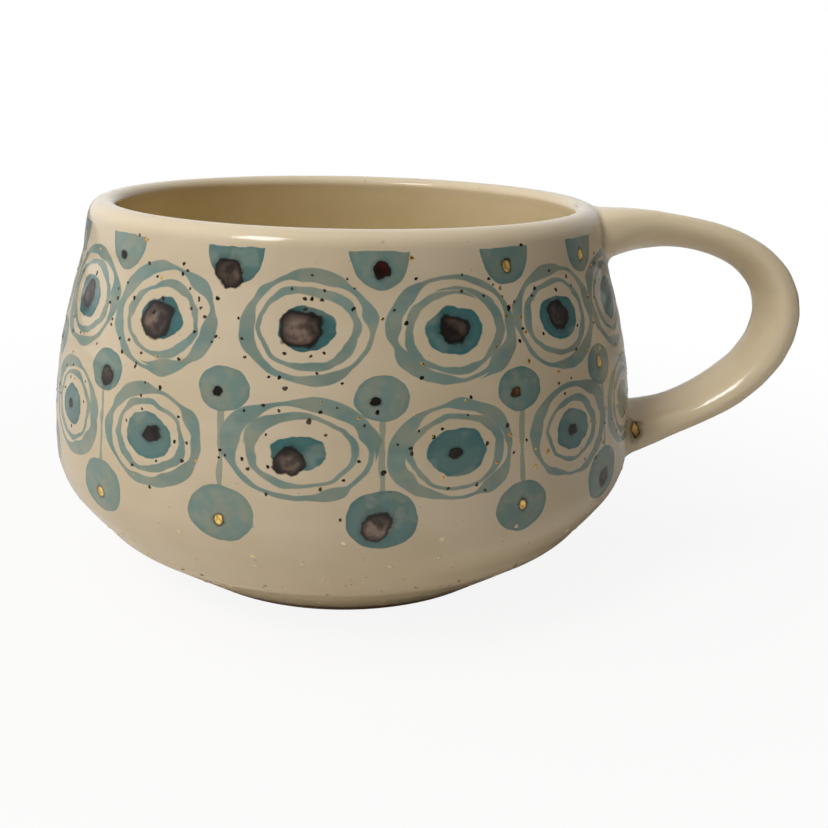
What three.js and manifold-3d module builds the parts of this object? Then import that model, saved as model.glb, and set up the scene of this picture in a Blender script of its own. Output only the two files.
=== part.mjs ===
// A hand-made stoneware mug: a wide-bellied bowl on a flat foot, a pulled handle that two slip joints hold to the wall,
// a liner glaze poured inside, and a dipped glaze over the outside of the bowl and over the handle.
// Millimetres, +Z up. The origin is on the bowl's axis, in the flat face that it rests on. The handle points along +X.
import * as THREE from "three";
import { mergeVertices } from "three/addons/utils/BufferGeometryUtils.js";
import Module from "manifold-3d";

const wasm = await Module();
wasm.setup();

const radians = THREE.MathUtils.degToRad;
const UP = radians(90);

// Driving dimensions of the bowl. Radii and heights are those of the glazed surface.
const HEIGHT = 73.4;
const CREST_RADIUS = 46.7; // highest line of the lip
const SHOULDER_RADIUS = 50.7; // the wall turns into the rounded lip here
const SHOULDER_HEIGHT = 65.8;
const SHOULDER_LEAN = radians(8); // how far the wall leans inwards at the shoulder
const BELLY_RADIUS = 58;
const BELLY_HEIGHT = 26.8;
const BEVEL_RADIUS = 49.5; // upper edge of the bevel turned under the belly
const BEVEL_HEIGHT = 10.8;
const ABOVE_BEVEL_SLOPE = radians(55.5);
const FOOT_RADIUS = 33.5;
const FOOT_EDGE = 0.8; // the foot's edge is softened over this width
const LIP_INNER_RADIUS = 44.6; // the rounded lip ends here on the inside, and the wall draws back below it
const LIP_INNER_HEIGHT = 71.3;
const LIP_UNDERCUT = radians(16);
const WALL = 5; // clay with both glazes
const FLOOR_HEIGHT = 6.8; // top of the floor
const FLOOR_RADIUS = 27;

// Glaze
const GLAZE = 0.4; // thickness of every glaze layer
const GLAZE_LINE = 0.2; // the lowest part of the bevel, as a share of its width, stays bare
const CLEARANCE = 0.3; // where one piece is cut to make room for another

// The handle's centre line, in the plane of the X and Z axes
const HANDLE_TOP = { x: 53.3, z: 68.1 };
const HANDLE_TOP_RISE = radians(9.6);
const HANDLE_OUTERMOST = { x: 86.6, z: 52.2 };
const HANDLE_BOTTOM = { x: 49.4, z: 26.4 };
const HANDLE_BOTTOM_RISE = radians(4.5);
const HANDLE_ROOT = 7.5; // straight stretch at the top, into the wall
const HANDLE_PULL = { top: 15, above: 13.4, below: 14.2, bottom: 15.7 }; // how far each end keeps its direction

// The strap's section at even steps along the centre line, from the root at the top to the root at the bottom
const HANDLE_THICKNESS = [12, 5.6, 4.7, 6.2, 5.9, 5.5, 11];
const HANDLE_WIDTH = [21, 11.6, 10.8, 11.2, 11.2, 11.5, 20];
const HANDLE_LEAN = radians(25); // away from its roots, the section leans over, with its inner side towards -Y
const HANDLE_LEAN_RISE = 2.2; // how quickly the lean sets in from each root

// Facets
const ROUND = 48; // around the bowl
const SECTION = 16; // around the handle
const STATIONS = 32; // along the handle
const TOP_JOINT_END = 3; // station where the upper slip joint meets the handle
const BOTTOM_JOINT_START = 28; // station where the handle meets the lower slip joint

const point = (r, z) => new THREE.Vector2(r, z);

function ahead(from, angle, distance) {
  return point(from.x + distance * Math.cos(angle), from.y + distance * Math.sin(angle));
}

// A curve that leaves a and reaches b in the given directions, and keeps each direction for about the given distance
function bend(a, directionA, keepA, b, directionB, keepB) {
  return new THREE.CubicBezierCurve(a, ahead(a, directionA, keepA), ahead(b, directionB, -keepB), b);
}

const FOOT = point(FOOT_RADIUS, 0);
const BEVEL = point(BEVEL_RADIUS, BEVEL_HEIGHT);
const BELLY = point(BELLY_RADIUS, BELLY_HEIGHT);
const SHOULDER = point(SHOULDER_RADIUS, SHOULDER_HEIGHT);
const CREST = point(CREST_RADIUS, HEIGHT);
const LIP_INSIDE = point(LIP_INNER_RADIUS, LIP_INNER_HEIGHT);
const BELLY_INSIDE = point(BELLY_RADIUS - WALL, BELLY_HEIGHT);
const FLOOR_EDGE = point(FLOOR_RADIUS, FLOOR_HEIGHT);
const FLOOR_CENTRE = point(0, FLOOR_HEIGHT);

// The glazed surface as a run of curves with the clay on its left: up the outside, over the lip, and down the inside to
// the axis. Each stretch says how many facets it gets.
const OUTSIDE = [
  { facets: 1, curve: new THREE.LineCurve(FOOT, BEVEL) },
  { facets: 4, curve: bend(BEVEL, ABOVE_BEVEL_SLOPE, 7.6, BELLY, UP, 7.6) },
  { facets: 5, curve: bend(BELLY, UP, 21, SHOULDER, UP + SHOULDER_LEAN, 5.2) },
  { facets: 3, curve: bend(SHOULDER, UP + SHOULDER_LEAN, 5, CREST, 2 * UP, 2.9) },
];
const INSIDE = [
  { facets: 3, curve: bend(CREST, 2 * UP, 1.2, LIP_INSIDE, 3 * UP + LIP_UNDERCUT, 1.1) },
  { facets: 4, curve: bend(LIP_INSIDE, 3 * UP + LIP_UNDERCUT, 14, BELLY_INSIDE, 3 * UP, 16) },
  { facets: 5, curve: bend(BELLY_INSIDE, 3 * UP, 13, FLOOR_EDGE, 2 * UP, 12) },
  { facets: 1, curve: new THREE.LineCurve(FLOOR_EDGE, FLOOR_CENTRE) },
];

// Points along a run of stretches, moved into the clay by depth. The first share of the first stretch is skipped.
function surfacePoints(stretches, depth, skipped = 0) {
  const points = [];
  stretches.forEach(({ facets, curve }, index) => {
    const first = index === 0 ? skipped : 0;
    for (let i = index === 0 ? 0 : 1; i <= facets; i++) {
      const t = first + ((1 - first) * i) / facets;
      const p = curve.getPoint(t);
      const tangent = curve.getTangent(t);
      points.push(point(p.x - tangent.y * depth, p.y + tangent.x * depth));
    }
  });
  return points;
}

// A solid of revolution about Z, from a profile with the solid on its left
function turned(profile) {
  return new THREE.LatheGeometry(profile, ROUND).rotateX(UP);
}

function bowlClay() {
  const base = [point(0, 0), point(FOOT_RADIUS - FOOT_EDGE, 0)];
  return turned([...base, ...surfacePoints(OUTSIDE, GLAZE), ...surfacePoints(INSIDE, GLAZE).slice(1)]);
}

function outerGlazeShell() {
  const surface = surfacePoints(OUTSIDE, 0, GLAZE_LINE);
  const againstClay = surfacePoints(OUTSIDE, GLAZE, GLAZE_LINE).reverse();
  return turned([...surface, ...againstClay, surface[0]]);
}

function linerGlaze() {
  return turned([...surfacePoints(INSIDE, GLAZE).reverse(), ...surfacePoints(INSIDE, 0)]);
}

// The bowl filled up to its lip, with its outside moved inwards by depth
function filledBowl(depth) {
  return turned([point(0, 0), ...surfacePoints(OUTSIDE, depth), point(0, HEIGHT - depth)]);
}

function handleLine() {
  const top = point(HANDLE_TOP.x, HANDLE_TOP.z);
  const outermost = point(HANDLE_OUTERMOST.x, HANDLE_OUTERMOST.z);
  const bottom = point(HANDLE_BOTTOM.x, HANDLE_BOTTOM.z);
  const line = new THREE.CurvePath();
  line.add(new THREE.LineCurve(ahead(top, HANDLE_TOP_RISE, -HANDLE_ROOT), top));
  line.add(bend(top, HANDLE_TOP_RISE, HANDLE_PULL.top, outermost, -UP, HANDLE_PULL.above));
  const inwards = HANDLE_BOTTOM_RISE + 2 * UP;
  line.add(bend(outermost, -UP, HANDLE_PULL.below, bottom, inwards, HANDLE_PULL.bottom));
  return line;
}

const HANDLE_LINE = handleLine();

// The value at share u of the way through evenly spaced values, on a smooth curve
function along(values, u) {
  return new THREE.SplineCurve(values.map((value, i) => point(i, value))).getPoint(u).y;
}

// A closed oval strap along the handle's line, from one station to another, with its section reduced by depth all round
function strap(start, end, depth) {
  const geometry = new THREE.CylinderGeometry(1, 1, 1, SECTION, end - start);
  const position = geometry.getAttribute("position");
  for (let i = 0; i < position.count; i++) {
    const station = Math.round(THREE.MathUtils.lerp(start, end, position.getY(i) + 0.5));
    const u = station / STATIONS;
    const centre = HANDLE_LINE.getPointAt(u);
    const tangent = HANDLE_LINE.getTangentAt(u);
    const lean = HANDLE_LEAN * Math.min(1, HANDLE_LEAN_RISE * Math.sin(u * Math.PI));
    const section = point(
      position.getX(i) * (along(HANDLE_THICKNESS, u) / 2 - depth),
      position.getZ(i) * (along(HANDLE_WIDTH, u) / 2 - depth),
    );
    const { x: out, y: side } = section.rotateAround(point(0, 0), lean);
    position.setXYZ(i, centre.x - tangent.y * out, side, centre.y + tangent.x * out);
  }
  return geometry;
}

function solid(geometry) {
  const bare = geometry.clone();
  bare.deleteAttribute("normal");
  bare.deleteAttribute("uv");
  const merged = mergeVertices(bare, 1e-3);
  const vertProperties = merged.getAttribute("position").array;
  const triVerts = new Uint32Array(merged.index.array);
  return new wasm.Manifold(new wasm.Mesh({ numProp: 3, vertProperties, triVerts }));
}

function geometryOf(manifold) {
  const mesh = manifold.getMesh();
  const geometry = new THREE.BufferGeometry();
  geometry.setAttribute("position", new THREE.BufferAttribute(mesh.vertProperties, mesh.numProp));
  geometry.setIndex(new THREE.BufferAttribute(mesh.triVerts, 1));
  geometry.computeVertexNormals();
  return geometry;
}

// The stretch of clay strap between two stations, cut off where the bowl's clay starts
function slipJoint(start, end) {
  return geometryOf(solid(strap(start, end, GLAZE)).subtract(solid(filledBowl(GLAZE - CLEARANCE))));
}

// The glazed outside of the bowl, with a window at each end of the handle
function outerGlaze() {
  const windows = solid(strap(0, STATIONS, GLAZE - CLEARANCE));
  return geometryOf(solid(outerGlazeShell()).subtract(windows));
}

// A tube of glaze around the handle and both joints, open where it meets the bowl
function handleGlaze() {
  const clay = solid(strap(0, STATIONS, GLAZE));
  return geometryOf(solid(strap(0, STATIONS, 0)).subtract(clay).subtract(solid(filledBowl(-CLEARANCE))));
}

const STONEWARE = { color: 0xc4ae8d, roughness: 0.85, metalness: 0 };
const CREAM_GLAZE = { color: 0xd2c3a6, roughness: 0.2, metalness: 0 };
const LINER_GLAZE = { color: 0xc3b18f, roughness: 0.2, metalness: 0 };

const mug = new THREE.Group();

function add(name, geometry, finish) {
  const mesh = new THREE.Mesh(geometry, new THREE.MeshStandardMaterial(finish));
  mesh.name = name;
  mug.add(mesh);
}

add("bowl", bowlClay(), STONEWARE);
add("handle", strap(TOP_JOINT_END, BOTTOM_JOINT_START, GLAZE), STONEWARE);
add("upper_slip_joint", slipJoint(0, TOP_JOINT_END), STONEWARE);
add("lower_slip_joint", slipJoint(BOTTOM_JOINT_START, STATIONS), STONEWARE);
add("outer_glaze", outerGlaze(), CREAM_GLAZE);
add("liner_glaze", linerGlaze(), LINER_GLAZE);
add("handle_glaze", handleGlaze(), CREAM_GLAZE);

export default mug;
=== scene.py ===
import math
import random

import bpy
import numpy as np
from mathutils import Matrix, Vector


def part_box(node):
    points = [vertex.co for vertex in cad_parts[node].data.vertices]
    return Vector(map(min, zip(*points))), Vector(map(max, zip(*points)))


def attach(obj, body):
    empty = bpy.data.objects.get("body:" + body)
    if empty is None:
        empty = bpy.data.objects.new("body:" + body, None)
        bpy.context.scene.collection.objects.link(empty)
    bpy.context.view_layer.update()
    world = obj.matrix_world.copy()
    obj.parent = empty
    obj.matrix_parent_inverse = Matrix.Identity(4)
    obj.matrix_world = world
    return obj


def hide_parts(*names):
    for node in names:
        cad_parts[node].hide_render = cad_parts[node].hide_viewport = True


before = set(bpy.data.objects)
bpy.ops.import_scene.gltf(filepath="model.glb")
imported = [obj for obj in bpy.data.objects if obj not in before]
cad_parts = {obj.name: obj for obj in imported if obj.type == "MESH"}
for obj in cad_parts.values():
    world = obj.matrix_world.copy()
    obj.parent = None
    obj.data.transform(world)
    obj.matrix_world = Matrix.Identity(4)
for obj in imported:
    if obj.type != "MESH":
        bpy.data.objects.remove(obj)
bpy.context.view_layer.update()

MM = 0.001
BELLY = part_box("outer_glaze")[1].y / MM  # radius of the widest ring
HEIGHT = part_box("outer_glaze")[1].z / MM
HANDLE_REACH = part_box("handle_glaze")[1].x / MM

TURN = 2 * math.pi
UP = math.pi / 2


# -------- curves

def bend(a, angle_a, keep_a, b, angle_b, keep_b, steps):
    """Points from a to b. Each end keeps its angle for about the given length."""
    a, b = np.array(a, float), np.array(b, float)
    leave = a + keep_a * np.array([math.cos(angle_a), math.sin(angle_a)])
    arrive = b - keep_b * np.array([math.cos(angle_b), math.sin(angle_b)])
    t = np.linspace(0, 1, steps + 1)[:, None]
    return (1 - t) ** 3 * a + 3 * (1 - t) ** 2 * t * leave + 3 * (1 - t) * t * t * arrive + t**3 * b


def chain(*runs):
    """Runs of points that follow each other, without the doubled points where they meet."""
    return np.vstack([runs[0]] + [run[1:] for run in runs[1:]])


def lengths(points):
    """Distance along a run of points, from its start to each point."""
    return np.concatenate([[0.0], np.cumsum(np.hypot(*np.diff(points, axis=0).T))])


def evenly(points, step):
    """The same run with points about step apart."""
    s = lengths(points)
    even = np.linspace(0, s[-1], max(2, round(s[-1] / step) + 1))
    return np.column_stack([np.interp(even, s, points[:, 0]), np.interp(even, s, points[:, 1])])


# -------- the bowl's profile: radius and height

WALL = 5.0
GLAZE = 0.4
FOOT = (0.578 * BELLY, 0.0)
BEVEL = (0.853 * BELLY, 0.147 * HEIGHT)
WIDEST = (BELLY, 0.365 * HEIGHT)
SHOULDER = (0.874 * BELLY, 0.896 * HEIGHT)
SHOULDER_LEAN = math.radians(8)
CREST = (0.805 * BELLY, HEIGHT)
LIP_INSIDE = (CREST[0] - 2.1, HEIGHT - 2.1)
LIP_UNDERCUT = math.radians(16)  # how far the inside draws back below the lip
WIDEST_INSIDE = (BELLY - WALL, WIDEST[1])
FLOOR_EDGE = (27.0, 6.8)
FLOOR_CENTRE = (0.0, 6.5)
GLAZE_LINE = 0.2  # share of the bevel that stays bare above the foot
LIP_STEPS = 20  # from the crest of the lip down to where the inside draws back
EDGE_ROUND = 0.1  # share of the bevel, below its upper edge, that the glaze rounds off
EDGE_STEPS = 6  # how many of the side's 60 steps it rounds off above


def between(a, b, share):
    return (a[0] + (b[0] - a[0]) * share, a[1] + (b[1] - a[1]) * share)


def outside_profile():
    """The glazed outside, from the glaze line to the crest of the lip."""
    start = between(FOOT, BEVEL, GLAZE_LINE)
    lean = UP + SHOULDER_LEAN
    side = bend(BEVEL, math.radians(55.5), 7.6, WIDEST, UP, 7.6, 60)
    low, high = between(FOOT, BEVEL, 1 - EDGE_ROUND), side[EDGE_STEPS]
    slope = math.atan2(BEVEL[1] - FOOT[1], BEVEL[0] - FOOT[0])
    return chain(
        np.array([between(start, low, t) for t in np.linspace(0, 1, 36)]),
        bend(low, slope, 1.1, high, math.radians(58), 1.1, 12),
        side[EDGE_STEPS:],
        bend(WIDEST, UP, 21, SHOULDER, lean, 5.2, 80),
        bend(SHOULDER, lean, 5.0, CREST, math.pi, 2.9, 40),
    )


def inside_profile():
    """The glazed inside, from the crest of the lip to the middle of the floor."""
    down, inwards = 3 * UP, math.pi
    return chain(
        bend(CREST, inwards, 1.2, LIP_INSIDE, down + LIP_UNDERCUT, 1.1, LIP_STEPS),
        bend(LIP_INSIDE, down + LIP_UNDERCUT, 14, WIDEST_INSIDE, down, 16, 80),
        bend(WIDEST_INSIDE, down, 13, FLOOR_EDGE, inwards, 12, 80),
        np.array([between(FLOOR_EDGE, FLOOR_CENTRE, t) for t in np.linspace(0, 1, 30)]),
    )


def sunk(profile, depth):
    """The profile moved into the clay, which lies on its left, by depth."""
    tangent = np.gradient(profile, axis=0)
    tangent /= np.linalg.norm(tangent, axis=1)[:, None]
    moved = profile + depth * np.column_stack([-tangent[:, 1], tangent[:, 0]])
    moved[:, 0] = np.maximum(moved[:, 0], 0)
    return moved


OUTSIDE = evenly(outside_profile(), 0.25)
OUTSIDE_LENGTHS = lengths(OUTSIDE)


def length_at(z):
    """Distance along the outside, from the glaze line, at height z."""
    return float(np.interp(z, OUTSIDE[:, 1], OUTSIDE_LENGTHS))


def wall_radius(s):
    """Radius of the glazed outside at distance s along it."""
    return np.interp(s, OUTSIDE_LENGTHS, OUTSIDE[:, 0])


def hand_made(theta, z):
    """How far the thrown wall strays outwards from a true circle."""
    oval = 0.16 * np.cos(2 * theta + 0.7) + 0.08 * np.cos(3 * theta - 1.1)
    throwing_rings = 0.035 * np.sin(z * 1.35 + 0.8 * np.sin(theta)) + 0.02 * np.sin(z * 0.62 + theta)
    return (oval * z / HEIGHT + throwing_rings) * np.clip(z / 12, 0, 1)


def placed(theta, r, z):
    """Points in metres at azimuth theta, radius r and height z, with the wall's hand-made irregularity."""
    r = r + hand_made(theta, z) * np.clip(r / 20, 0, 1)
    return np.stack([r * np.cos(theta), r * np.sin(theta), z + 0 * theta], axis=-1) * MM


def on_wall(theta, s, lift=0.0):
    """Points in metres on the glazed outside at distance s along it, raised by lift."""
    r = wall_radius(s)
    z = np.interp(s, OUTSIDE_LENGTHS, OUTSIDE[:, 1])
    slope = np.gradient(OUTSIDE, axis=0)
    slope /= np.linalg.norm(slope, axis=1)[:, None]
    normal_r = np.interp(s, OUTSIDE_LENGTHS, slope[:, 1])
    normal_z = np.interp(s, OUTSIDE_LENGTHS, -slope[:, 0])
    point = placed(theta, r, z)
    out = np.stack([normal_r * np.cos(theta), normal_r * np.sin(theta), normal_z], axis=-1)
    return point + out * np.asarray(lift)[..., None] * MM


# -------- meshes

def make_object(name, points, faces, material, smooth=True):
    mesh = bpy.data.meshes.new(name)
    mesh.from_pydata([tuple(p) for p in points], [], faces)
    mesh.polygons.foreach_set("use_smooth", [smooth] * len(mesh.polygons))
    mesh.materials.append(material)
    mesh.validate()
    mesh.update()
    piece = bpy.data.objects.new(name, mesh)
    bpy.context.scene.collection.objects.link(piece)
    return piece


def strip_faces(rings, around, first=0):
    """Quads between neighbouring rings of vertices, with the last column joined to the first."""
    faces = []
    for i in range(rings - 1):
        for j in range(around):
            k = (j + 1) % around
            a = first + i * around
            b = a + around
            faces.append((a + j, a + k, b + k, b + j))
    return faces


def fan_faces(ring_start, around, apex, flip=False):
    faces = [(ring_start + j, ring_start + (j + 1) % around, apex) for j in range(around)]
    return [face[::-1] for face in faces] if flip else faces


# -------- materials

class Graph:
    """Builds the node graph of a new material or world. Inputs are sockets or plain values."""

    def __init__(self, name, kind="materials"):
        self.owner = getattr(bpy.data, kind).new(name)
        self.owner.use_nodes = True
        self.tree = self.owner.node_tree
        self.tree.nodes.clear()

    def add(self, kind, inputs=None, **settings):
        node = self.tree.nodes.new(kind)
        for key, value in settings.items():
            setattr(node, key, value)
        for key, value in (inputs or {}).items():
            if isinstance(value, bpy.types.NodeSocket):
                self.tree.links.new(value, node.inputs[key])
            else:
                node.inputs[key].default_value = value
        return node

    def math(self, operation, a, b=0.0):
        return self.add("ShaderNodeMath", {0: a, 1: b}, operation=operation).outputs[0]

    def length(self, x, y):
        """Distance of x and y from 0 and 0."""
        return self.math("POWER", self.plus(self.times(x, x), self.times(y, y)), 0.5)

    def drift(self, seed, number):
        """A steady number from -0.08 to 0.08 for each seed."""
        wave = self.math("SINE", self.plus(self.times(seed, 2.3), number))
        return self.times(wave, 0.08)

    def plus(self, a, b):
        return self.math("ADD", a, b)

    def minus(self, a, b):
        return self.math("SUBTRACT", a, b)

    def times(self, a, b):
        return self.math("MULTIPLY", a, b)

    def ramp(self, value, low, high, to_low=0.0, to_high=1.0):
        """Runs smoothly from to_low to to_high while value goes from low to high."""
        inputs = {"Value": value, "From Min": low, "From Max": high, "To Min": to_low, "To Max": to_high}
        return self.add("ShaderNodeMapRange", inputs, interpolation_type="SMOOTHSTEP").outputs[0]

    def blend(self, factor, a, b):
        """The colour a where factor is 0, and b where it is 1."""
        a, b = (c if isinstance(c, bpy.types.NodeSocket) else (*c, 1.0) for c in (a, b))
        return self.add("ShaderNodeMix", {0: factor, 6: a, 7: b}, data_type="RGBA").outputs[2]

    def mix(self, factor, a, b):
        return self.add("ShaderNodeMix", {0: factor, 2: a, 3: b}, data_type="FLOAT").outputs[0]

    def attribute(self, name):
        """The three numbers of a vector attribute."""
        return self.split(self.add("ShaderNodeAttribute", attribute_name=name).outputs["Vector"])

    def split(self, vector):
        parts = self.add("ShaderNodeSeparateXYZ", {0: vector})
        return parts.outputs[0], parts.outputs[1], parts.outputs[2]

    def vector(self, x, y, z):
        return self.add("ShaderNodeCombineXYZ", {0: x, 1: y, 2: z}).outputs[0]

    def position(self):
        """Place on the object, in millimetres."""
        place = self.add("ShaderNodeTexCoord").outputs["Object"]
        inputs = {0: place, "Scale": 1 / MM}
        return self.add("ShaderNodeVectorMath", inputs, operation="SCALE").outputs[0]

    def noise(self, place, size, detail=2.0):
        """Noise from about 0.25 to 0.75, with features of about the given size."""
        inputs = {"Vector": place, "Scale": 1 / size, "Detail": detail}
        return self.add("ShaderNodeTexNoise", inputs).outputs["Fac"]

    def finish(self, colour, roughness, metallic=0.0, height=None, depth=0.05, ior=1.5):
        """Ends the graph with a surface. height is 0 to 1, and 1 stands for depth in millimetres."""
        inputs = {"Base Color": colour, "Roughness": roughness, "Metallic": metallic, "IOR": ior}
        shader = self.add("ShaderNodeBsdfPrincipled", inputs)
        if height is not None:
            bump = self.add("ShaderNodeBump", {"Height": height, "Strength": 1.0, "Distance": depth * MM})
            self.tree.links.new(bump.outputs["Normal"], shader.inputs["Normal"])
        output = self.add("ShaderNodeOutputMaterial")
        self.tree.links.new(shader.outputs[0], output.inputs["Surface"])
        return self.owner


CREAM_LIGHT = (0.745, 0.615, 0.435)
CREAM_WARM = (0.69, 0.56, 0.375)
LINER_LIGHT = (0.86, 0.73, 0.475)
LINER_WARM = (0.78, 0.65, 0.385)
PALE_GREEN = (0.315, 0.345, 0.265)
PALE_BLUE = (0.235, 0.325, 0.28)
DEEP_TEAL = (0.055, 0.17, 0.172)
PAINTED_LIGHT_CREAM = (1.0, 0.83, 0.56)  # painted light: a lighter cream for the floor's bounce on the bevel, for the light from above on the lip, and for more light on the handle
# shares of the painted light on the lip and on the handle
PAINTED_LIGHT_ON_LIP = 0.42
PAINTED_LIGHT_ON_HANDLE = 0.6
POOLED_GLAZE_AND_SHADE = (0.20, 0.16, 0.085)  # painted shade in creases and a painted shadow on the handle's lower root, over some gathered glaze; also the brown round the root's gold spot
INK = (0.012, 0.008, 0.006)
DARK_HALO = (0.035, 0.06, 0.06)
IRON_BROWN = (0.06, 0.035, 0.02)  # small marks along the bevel's edge

# Lustre colours by tone, from 0 to 1. Dark and gold are partly the lustre's own tones and partly painted
# reflection: dark for lustre that faces dark surroundings, gold for lustre that faces bright ones
LUSTRE_TONES = [
    (0.0, (0.012, 0.009, 0.007)),
    (0.2, (0.06, 0.045, 0.032)),
    (0.4, (0.2, 0.142, 0.108)),
    (0.6, (0.06, 0.008, 0.005)),
    (0.8, (0.22, 0.09, 0.025)),
    (1.0, (0.95, 0.58, 0.17)),
]


def tone_colour(graph, tone):
    ramp = graph.add("ShaderNodeValToRGB", {0: tone})
    stops = ramp.color_ramp.elements
    while len(stops) < len(LUSTRE_TONES):
        stops.new(0.5)
    for stop, (place, colour) in zip(stops, LUSTRE_TONES):
        stop.position = place
        stop.color = (*colour, 1.0)
    return ramp.outputs["Color"]


def cream(graph, place):
    """Cream glaze with warm clouds and a few fine iron specks, yellower inside, with painted light on the
    bevel and the lip, and brown painted shade in creases, where glaze also gathers.

    The point attribute glaze_look holds how far inside the bowl a point is and how much painted shade
    and painted shadow it has there, both from 0 to 1.
    """
    clouds = graph.ramp(graph.noise(place, 22.0, 3.0), 0.35, 0.68)
    inside, painted_shade, _ = graph.attribute("glaze_look")
    light = graph.blend(inside, CREAM_LIGHT, LINER_LIGHT)
    colour = graph.blend(clouds, light, graph.blend(inside, CREAM_WARM, LINER_WARM))
    _, _, height = graph.split(place)
    # painted light: the bevel is lightened for the floor's bounce, and the lip for the light from above
    painted_bounce_at_foot = graph.times(graph.ramp(height, 8.0, 12.0, 0.5, 0.0), graph.minus(1.0, inside))
    painted_light_at_lip = graph.ramp(height, HEIGHT - 3.0, HEIGHT - 1.0, 0.0, PAINTED_LIGHT_ON_LIP)
    colour = graph.blend(graph.math("MAXIMUM", painted_bounce_at_foot, painted_light_at_lip), colour, PAINTED_LIGHT_CREAM)
    # painted shade in the creases at the handle's roots, over some gathered glaze, and a painted shadow on
    # the lower root
    colour = graph.blend(graph.times(painted_shade, 0.85), colour, POOLED_GLAZE_AND_SHADE)
    specks = graph.ramp(graph.noise(place, 0.7, 1.0), 0.755, 0.80)
    return graph.blend(graph.times(specks, 0.45), colour, (0.30, 0.2, 0.11))


def glaze_relief(graph, place):
    """The slow waviness and fine orange peel of a fired glaze, 0 to 1."""
    slow = graph.noise(place, 9.0)
    fine = graph.noise(place, 1.6)
    return graph.plus(graph.times(slow, 0.8), graph.times(fine, 0.2))


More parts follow.
